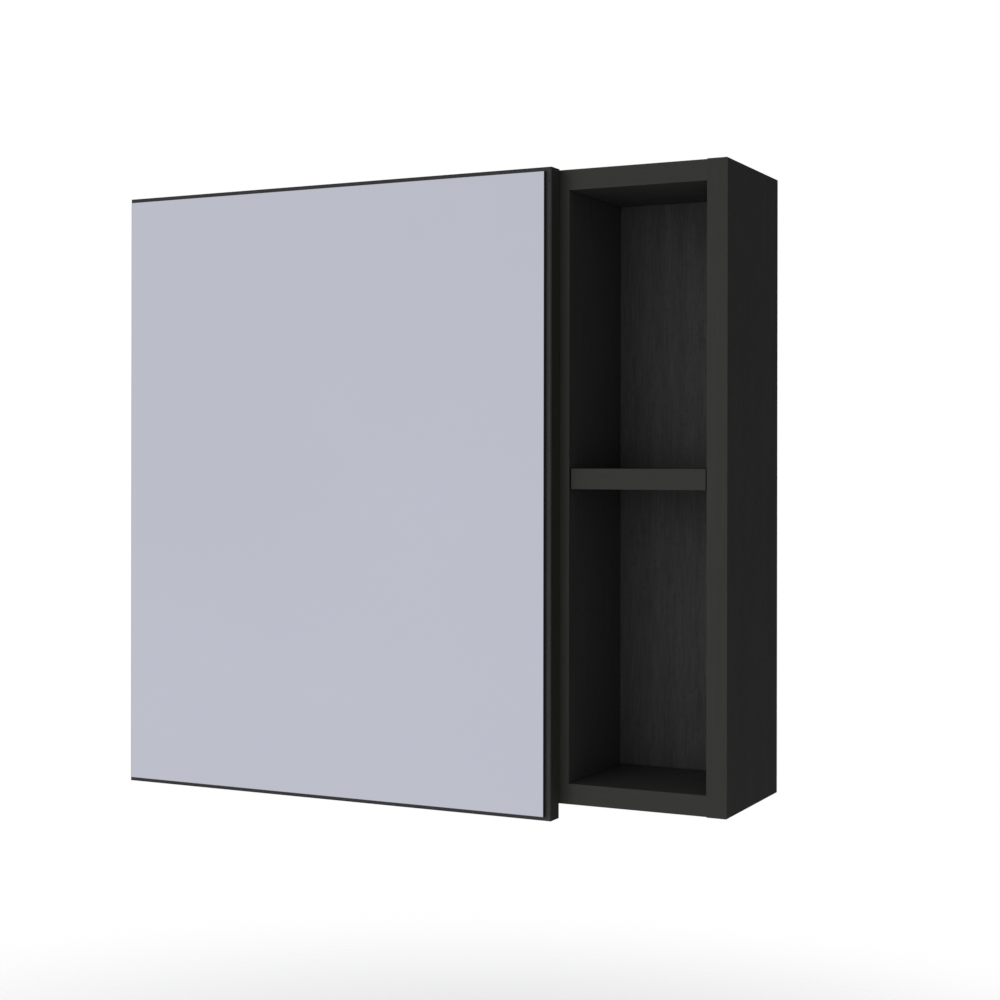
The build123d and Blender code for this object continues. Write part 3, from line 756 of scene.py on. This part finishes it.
class CABINET_OT_build_mirror(bpy.types.Operator):
    """Build the sheet of mirror glass with a polished arris, and finish its tape"""

    bl_idname = "cabinet.build_mirror"
    bl_label = "Build Mirror"

    def execute(self, context):
        settings = context.scene.cabinet_mirror
        materials = [
            silver_material(settings),
            glass_edge_material("polished_arris", shade(settings.edge_tint, 2.0), 0.12, 0.24),
            glass_edge_material("ground_edge", settings.edge_tint, 0.42, 0.6),
            back_paint_material(settings),
        ]
        silver, polished, ground, paint = range(len(materials))
        low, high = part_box("mirror_glass")
        shape = bmesh.new()
        outline = [(high[1], 0.0)]
        for step in range(settings.arris_steps + 1):
            angle = math.pi / 2 * step / settings.arris_steps
            rise = settings.arris * (1.0 - math.sin(angle))
            inset = settings.arris * (1.0 - math.cos(angle))
            outline.append((low[1] + rise, inset))
        loops = []
        for depth, inset in outline:
            left, right = low[0] + inset, high[0] - inset
            bottom, top = low[2] + inset, high[2] - inset
            corners = ((left, bottom), (right, bottom), (right, top), (left, top))
            loops.append([shape.verts.new((x, depth, z)) for x, z in corners])
        shape.faces.new(loops[0]).material_index = paint
        shape.faces.new(loops[-1]).material_index = silver
        arris = set()
        for number, (near, far) in enumerate(zip(loops, loops[1:])):
            for corner in range(4):
                after = (corner + 1) % 4
                face = shape.faces.new((near[corner], near[after], far[after], far[corner]))
                face.material_index = ground if number == 0 else polished
                if number > 0:
                    arris.add(face)
        finished_object("mirror_sheet", shape, "mirror_glass", materials, rounding=arris)
        for slot in frame["nodes"]["mirror_tape"].material_slots:
            slot.material = tape_material(settings)
        return {"FINISHED"}


class CABINET_OT_build_shelf_pins(bpy.types.Operator):
    """Build turned shelf pins with a collar and a rounded tip"""

    bl_idname = "cabinet.build_shelf_pins"
    bl_label = "Build Shelf Pins"

    def execute(self, context):
        settings = context.scene.cabinet_fittings
        bays = {
            "shelf_pins_inner": (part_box("side_panel_left")[1][0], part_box("divider")[0][0]),
            "shelf_pins_open": (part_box("divider")[1][0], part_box("side_panel_right")[0][0]),
        }
        for node, (left_face, right_face) in bays.items():
            shape = bmesh.new()
            for low, high in solid_boxes(node):
                on_left = low[0] < left_face
                buried = low[0] if on_left else high[0]
                depth = left_face - buried if on_left else buried - right_face
                centre = (buried, (low[1] + high[1]) / 2, (low[2] + high[2]) / 2)
                radius = (high[2] - low[2]) / 2
                profile = self.pin_profile(depth, high[0] - low[0], radius, settings)
                lathe(shape, centre, (1 if on_left else -1, 0, 0), profile)
            finished_object(node + "_turned", shape, node, [nickel_material(settings)])
        return {"FINISHED"}

    def pin_profile(self, depth, length, radius, settings):
        """A pin's outline: chamfered buried end, collar against the board, rounded tip."""
        edge = 0.2 * MM
        collar = settings.collar_radius
        outer = depth + settings.collar_thickness
        buried_end = [(0.0, 0.0), (0.0, radius * 0.8), (0.5 * MM, radius), (depth, radius)]
        ring = [(depth, collar - edge), (depth + edge, collar)]
        ring += [(outer - edge, collar), (outer, collar - edge)]
        neck = [(outer, radius + 0.02 * MM), (outer + 0.1 * MM, radius)]
        return buried_end + ring + neck + rounded_corner(length, radius, 0.7 * MM) + [(length, 0.0)]


class CABINET_OT_finish_joinery(bpy.types.Operator):
    """Finish cams, bolts, dowels and screws, and build the cover caps"""

    bl_idname = "cabinet.finish_joinery"
    bl_label = "Finish Joinery"

    def execute(self, context):
        settings = context.scene.cabinet_fittings
        nickel = nickel_material(settings)
        softened_piece("cam_locks", plated_material("cast_zinc", settings.zinc_colour, 0.4, 0.6),
                       settings.cast_radius)
        softened_piece("cam_bolts", nickel, settings.metal_radius)
        softened_piece("divider_screws", nickel, settings.metal_radius)
        softened_piece("wood_dowels", beech_material(settings), settings.dowel_radius)
        self.build_caps(settings)
        return {"FINISHED"}

    def build_caps(self, settings):
        """Domed cover caps over the cams, each with a small dimple in its middle."""
        shape = bmesh.new()
        middle = sum(corner[2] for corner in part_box("cam_caps")) / 2
        for low, high in solid_boxes("cam_caps"):
            radius = (high[0] - low[0]) / 2
            thickness = high[2] - low[2]
            faces_up = low[2] > middle
            start = (low[0] + radius, low[1] + radius, low[2] if faces_up else high[2])
            rim = [(0.0, 0.0), (0.0, radius - 0.3 * MM), (0.3 * MM, radius)]
            rim += rounded_corner(thickness - 0.05 * MM, radius, 0.45 * MM)
            top = [(thickness + settings.cap_dome * rise, radius * part)
                   for rise, part in ((0.6, 0.6), (1.0, 0.25), (0.2, 0.12), (0.0, 0.0))]
            lathe(shape, start, (0, 0, 1 if faces_up else -1), rim + top)
        plastic = moulded_material("cap_plastic", settings.plastic_colour, 0.36, 0.5)
        finished_object("cover_caps", shape, "cam_caps", [plastic], smooth_bend=50.0)


class CABINET_OT_finish_hinges(bpy.types.Operator):
    """Finish the flush hinges: leaves, knuckles, pins and screws"""

    bl_idname = "cabinet.finish_hinges"
    bl_label = "Finish Hinges"

    def execute(self, context):
        settings = context.scene.cabinet_fittings
        lacquer = lacquer_material(settings)
        for node in LACQUERED:
            softened_piece(node, lacquer, settings.metal_radius)
        for node in HINGE_NICKEL:
            softened_piece(node, nickel_material(settings), settings.metal_radius)
        return {"FINISHED"}


class CABINET_OT_finish_catch(bpy.types.Operator):
    """Finish the magnetic catch, its strike plate and screws"""

    bl_idname = "cabinet.finish_catch"
    bl_label = "Finish Catch"

    def execute(self, context):
        settings = context.scene.cabinet_fittings
        plastic = moulded_material("catch_plastic", settings.plastic_colour, 0.34, 0.48)
        ferrite = moulded_material("ferrite", settings.ferrite_colour, 0.5, 0.7)
        softened_piece("catch_housing", plastic, settings.cast_radius)
        softened_piece("catch_magnet", ferrite, settings.cast_radius)
        for node in CATCH_NICKEL:
            softened_piece(node, nickel_material(settings), settings.metal_radius)
        return {"FINISHED"}


class CABINET_OT_build_pads(bpy.types.Operator):
    """Build the domed clear pads that soften the door's stop"""

    bl_idname = "cabinet.build_pads"
    bl_label = "Build Door Pads"

    def execute(self, context):
        settings = context.scene.cabinet_fittings
        shape = bmesh.new()
        steps = 8
        for low, high in solid_boxes("door_bumpers"):
            radius = (high[0] - low[0]) / 2
            height = high[1] - low[1]
            profile = [(0.0, 0.0)]
            for step in range(steps):
                angle = math.pi / 2 * step / steps
                profile.append((height * math.sin(angle), radius * math.cos(angle) ** 0.6))
            profile.append((height, 0.0))
            lathe(shape, (low[0] + radius, low[1], low[2] + radius), (0, 1, 0), profile)
        finished_object("clear_door_pads", shape, "door_bumpers", [pad_material(settings)], smooth_bend=60.0)
        return {"FINISHED"}


class CABINET_OT_set_stage(bpy.types.Operator):
    """Set the pale floor, the soft studio light and the camera"""

    bl_idname = "cabinet.set_stage"
    bl_label = "Set Stage"

    def execute(self, context):
        settings = context.scene.cabinet_stage
        context.scene.view_settings.view_transform = "Standard"
        self.make_camera(context, settings)
        self.make_world(context, settings)
        self.make_floor(context, settings)
        powers = (settings.key_power, settings.fill_power, settings.rim_power)
        for (name, (offset, side)), power in zip(LIGHTS.items(), powers):
            self.make_light(context, name, offset, side, power)
        return {"FINISHED"}

    def make_camera(self, context, settings):
        """Place the camera in front and to the right of the cabinet."""
        low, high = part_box("side_panel_right")
        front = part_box("front_bands_sides")[0][1]
        place = Vector((high[0] + settings.camera_right, front - settings.camera_out,
                        low[2] + settings.camera_up))
        turn, tilt, roll = settings.camera_turn, settings.camera_tilt, settings.camera_roll
        sight = Vector((-math.sin(turn) * math.cos(tilt), math.cos(turn) * math.cos(tilt), math.sin(tilt)))
        level = Vector((math.cos(turn), math.sin(turn), 0.0))
        upright = level.cross(sight)
        right = level * math.cos(roll) + upright * math.sin(roll)
        up = upright * math.cos(roll) - level * math.sin(roll)
        data = bpy.data.cameras.new("view_camera")
        data.lens = settings.lens
        data.shift_x = settings.shift_x
        data.shift_y = settings.shift_y
        camera = bpy.data.objects.new("view_camera", data)
        camera.matrix_world = Matrix.Translation(place) @ Matrix((right, up, -sight)).transposed().to_4x4()
        context.scene.collection.objects.link(camera)
        context.scene.camera = camera

    def make_world(self, context, settings):
        """Light the object from a soft studio dome; the camera itself sees plain white."""
        world = bpy.data.worlds.new("studio")
        world.use_nodes = True
        world.node_tree.nodes.clear()
        bench = Bench(world.node_tree)
        paths = bench.add("ShaderNodeLightPath").outputs
        direction = bench.add("ShaderNodeTexCoord").outputs["Generated"]
        parts = bench.add("ShaderNodeSeparateXYZ", Vector=direction).outputs
        frontness = bench.times(parts["Y"], -1.0)
        lit = bench.span(frontness, 0.25, 0.68, smooth=True)
        mirrored = bench.span(frontness, 0.0, 0.3, smooth=True)
        ahead = bench.between(paths["Is Glossy Ray"], lit, mirrored)
        above = bench.span(parts["Z"], 0.35, 0.95, smooth=True)
        drift = bench.span(bench.noise(direction, 1.3), 0.3, 0.7, 0.96, 1.03)
        tone = bench.blend(ahead, shade(settings.side_tone, 1.0), shade(settings.front_tone, 1.0))
        tone = bench.blend(above, tone, shade(settings.top_tone, 1.0))
        dome = bench.add("ShaderNodeBackground", Color=tone, Strength=drift)
        white = bench.add("ShaderNodeBackground", Color=WHITE, Strength=1.0)
        choose = bench.add("ShaderNodeMixShader")
        bench.feed(choose.inputs[0], paths["Is Camera Ray"])
        bench.feed(choose.inputs[1], dome.outputs[0])
        bench.feed(choose.inputs[2], white.outputs[0])
        output = bench.add("ShaderNodeOutputWorld")
        bench.feed(output.inputs["Surface"], choose.outputs[0])
        context.scene.world = world

    def make_floor(self, context, settings):
        """A round pale floor below the cabinet that fades out at its rim and can't be seen from below."""
        low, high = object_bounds()
        radius = settings.floor_radius
        shape = bmesh.new()
        bmesh.ops.create_circle(shape, cap_ends=True, segments=96, radius=radius)
        mesh = bpy.data.meshes.new("pale_floor")
        shape.to_mesh(mesh)
        shape.free()
        floor = bpy.data.objects.new("pale_floor", mesh)
        floor.location = ((low[0] + high[0]) / 2, (low[1] + high[1]) / 2, low[2] - settings.floor_drop)
        material, bench, surface, place = blank_material("pale_floor")
        speckle = bench.noise(place, FLOOR_SPECKLE, 4.0, 0.6)
        bench.feed(surface.inputs["Base Color"], around(bench, speckle, settings.floor_colour, 0.04))
        surface.inputs["Roughness"].default_value = 0.8
        surface.inputs["Emission Color"].default_value = WHITE
        surface.inputs["Emission Strength"].default_value = settings.floor_glow
        distance = bench.add("ShaderNodeVectorMath", {"operation": "LENGTH"})
        bench.feed(distance.inputs[0], place)
        shown = bench.span(distance.outputs["Value"], radius * 0.98, radius * 0.3, smooth=True)
        from_above = bench.sum("SUBTRACT", 1.0, bench.add("ShaderNodeNewGeometry").outputs["Backfacing"])
        bench.feed(surface.inputs["Alpha"], bench.times(shown, from_above))
        mesh.materials.append(material)
        context.scene.collection.objects.link(floor)
        floor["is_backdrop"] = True

    def make_light(self, context, name, offset, side, power):
        """Hang one soft square light that faces the cabinet and stays out of the mirror."""
        low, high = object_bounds()
        data = bpy.data.lights.new(name, "AREA")
        data.size = side
        data.energy = power
        light = bpy.data.objects.new(name, data)
        light.location = (low + high) / 2 + Vector(offset)
        light.rotation_euler = (-Vector(offset)).to_track_quat("-Z", "Y").to_euler()
        light.visible_glossy = False
        context.scene.collection.objects.link(light)


class CABINET_PT_finisher(bpy.types.Panel):
    """Lists the cabinet's finishing steps and settings"""

    bl_label = "Medicine Cabinet"
    bl_idname = "CABINET_PT_finisher"
    bl_space_type = "VIEW_3D"
    bl_region_type = "UI"
    bl_category = "Cabinet"

    def draw(self, context):
        for step in STEPS:
            self.layout.operator(step.bl_idname)
        for name in SETTINGS:
            settings = getattr(context.scene, name)
            box = self.layout.box()
            for field in settings.__annotations__:
                box.prop(settings, field)


SETTINGS = {
    "cabinet_boards": CabinetBoardSettings,
    "cabinet_mirror": CabinetMirrorSettings,
    "cabinet_fittings": CabinetFittingSettings,
    "cabinet_stage": CabinetStageSettings,
}
STEPS = (
    CABINET_OT_finish_boards,
    CABINET_OT_finish_bands,
    CABINET_OT_build_mirror,
    CABINET_OT_build_shelf_pins,
    CABINET_OT_finish_joinery,
    CABINET_OT_finish_hinges,
    CABINET_OT_finish_catch,
    CABINET_OT_build_pads,
    CABINET_OT_set_stage,
)


def register():
    """Register the settings, steps and panel."""
    for made in (*SETTINGS.values(), *STEPS, CABINET_PT_finisher):
        bpy.utils.register_class(made)
    for name, kind in SETTINGS.items():
        setattr(bpy.types.Scene, name, PointerProperty(type=kind))


def unregister():
    """Remove the settings, steps and panel again."""
    for name in SETTINGS:
        delattr(bpy.types.Scene, name)
    for made in reversed((*SETTINGS.values(), *STEPS, CABINET_PT_finisher)):
        bpy.utils.unregister_class(made)


def main():
    """Run every step in order."""
    register()
    bpy.ops.cabinet.finish_boards()
    bpy.ops.cabinet.finish_bands()
    bpy.ops.cabinet.build_mirror()
    bpy.ops.cabinet.build_shelf_pins()
    bpy.ops.cabinet.finish_joinery()
    bpy.ops.cabinet.finish_hinges()
    bpy.ops.cabinet.finish_catch()
    bpy.ops.cabinet.build_pads()
    bpy.ops.cabinet.set_stage()


if __name__ == "__main__":
    main()
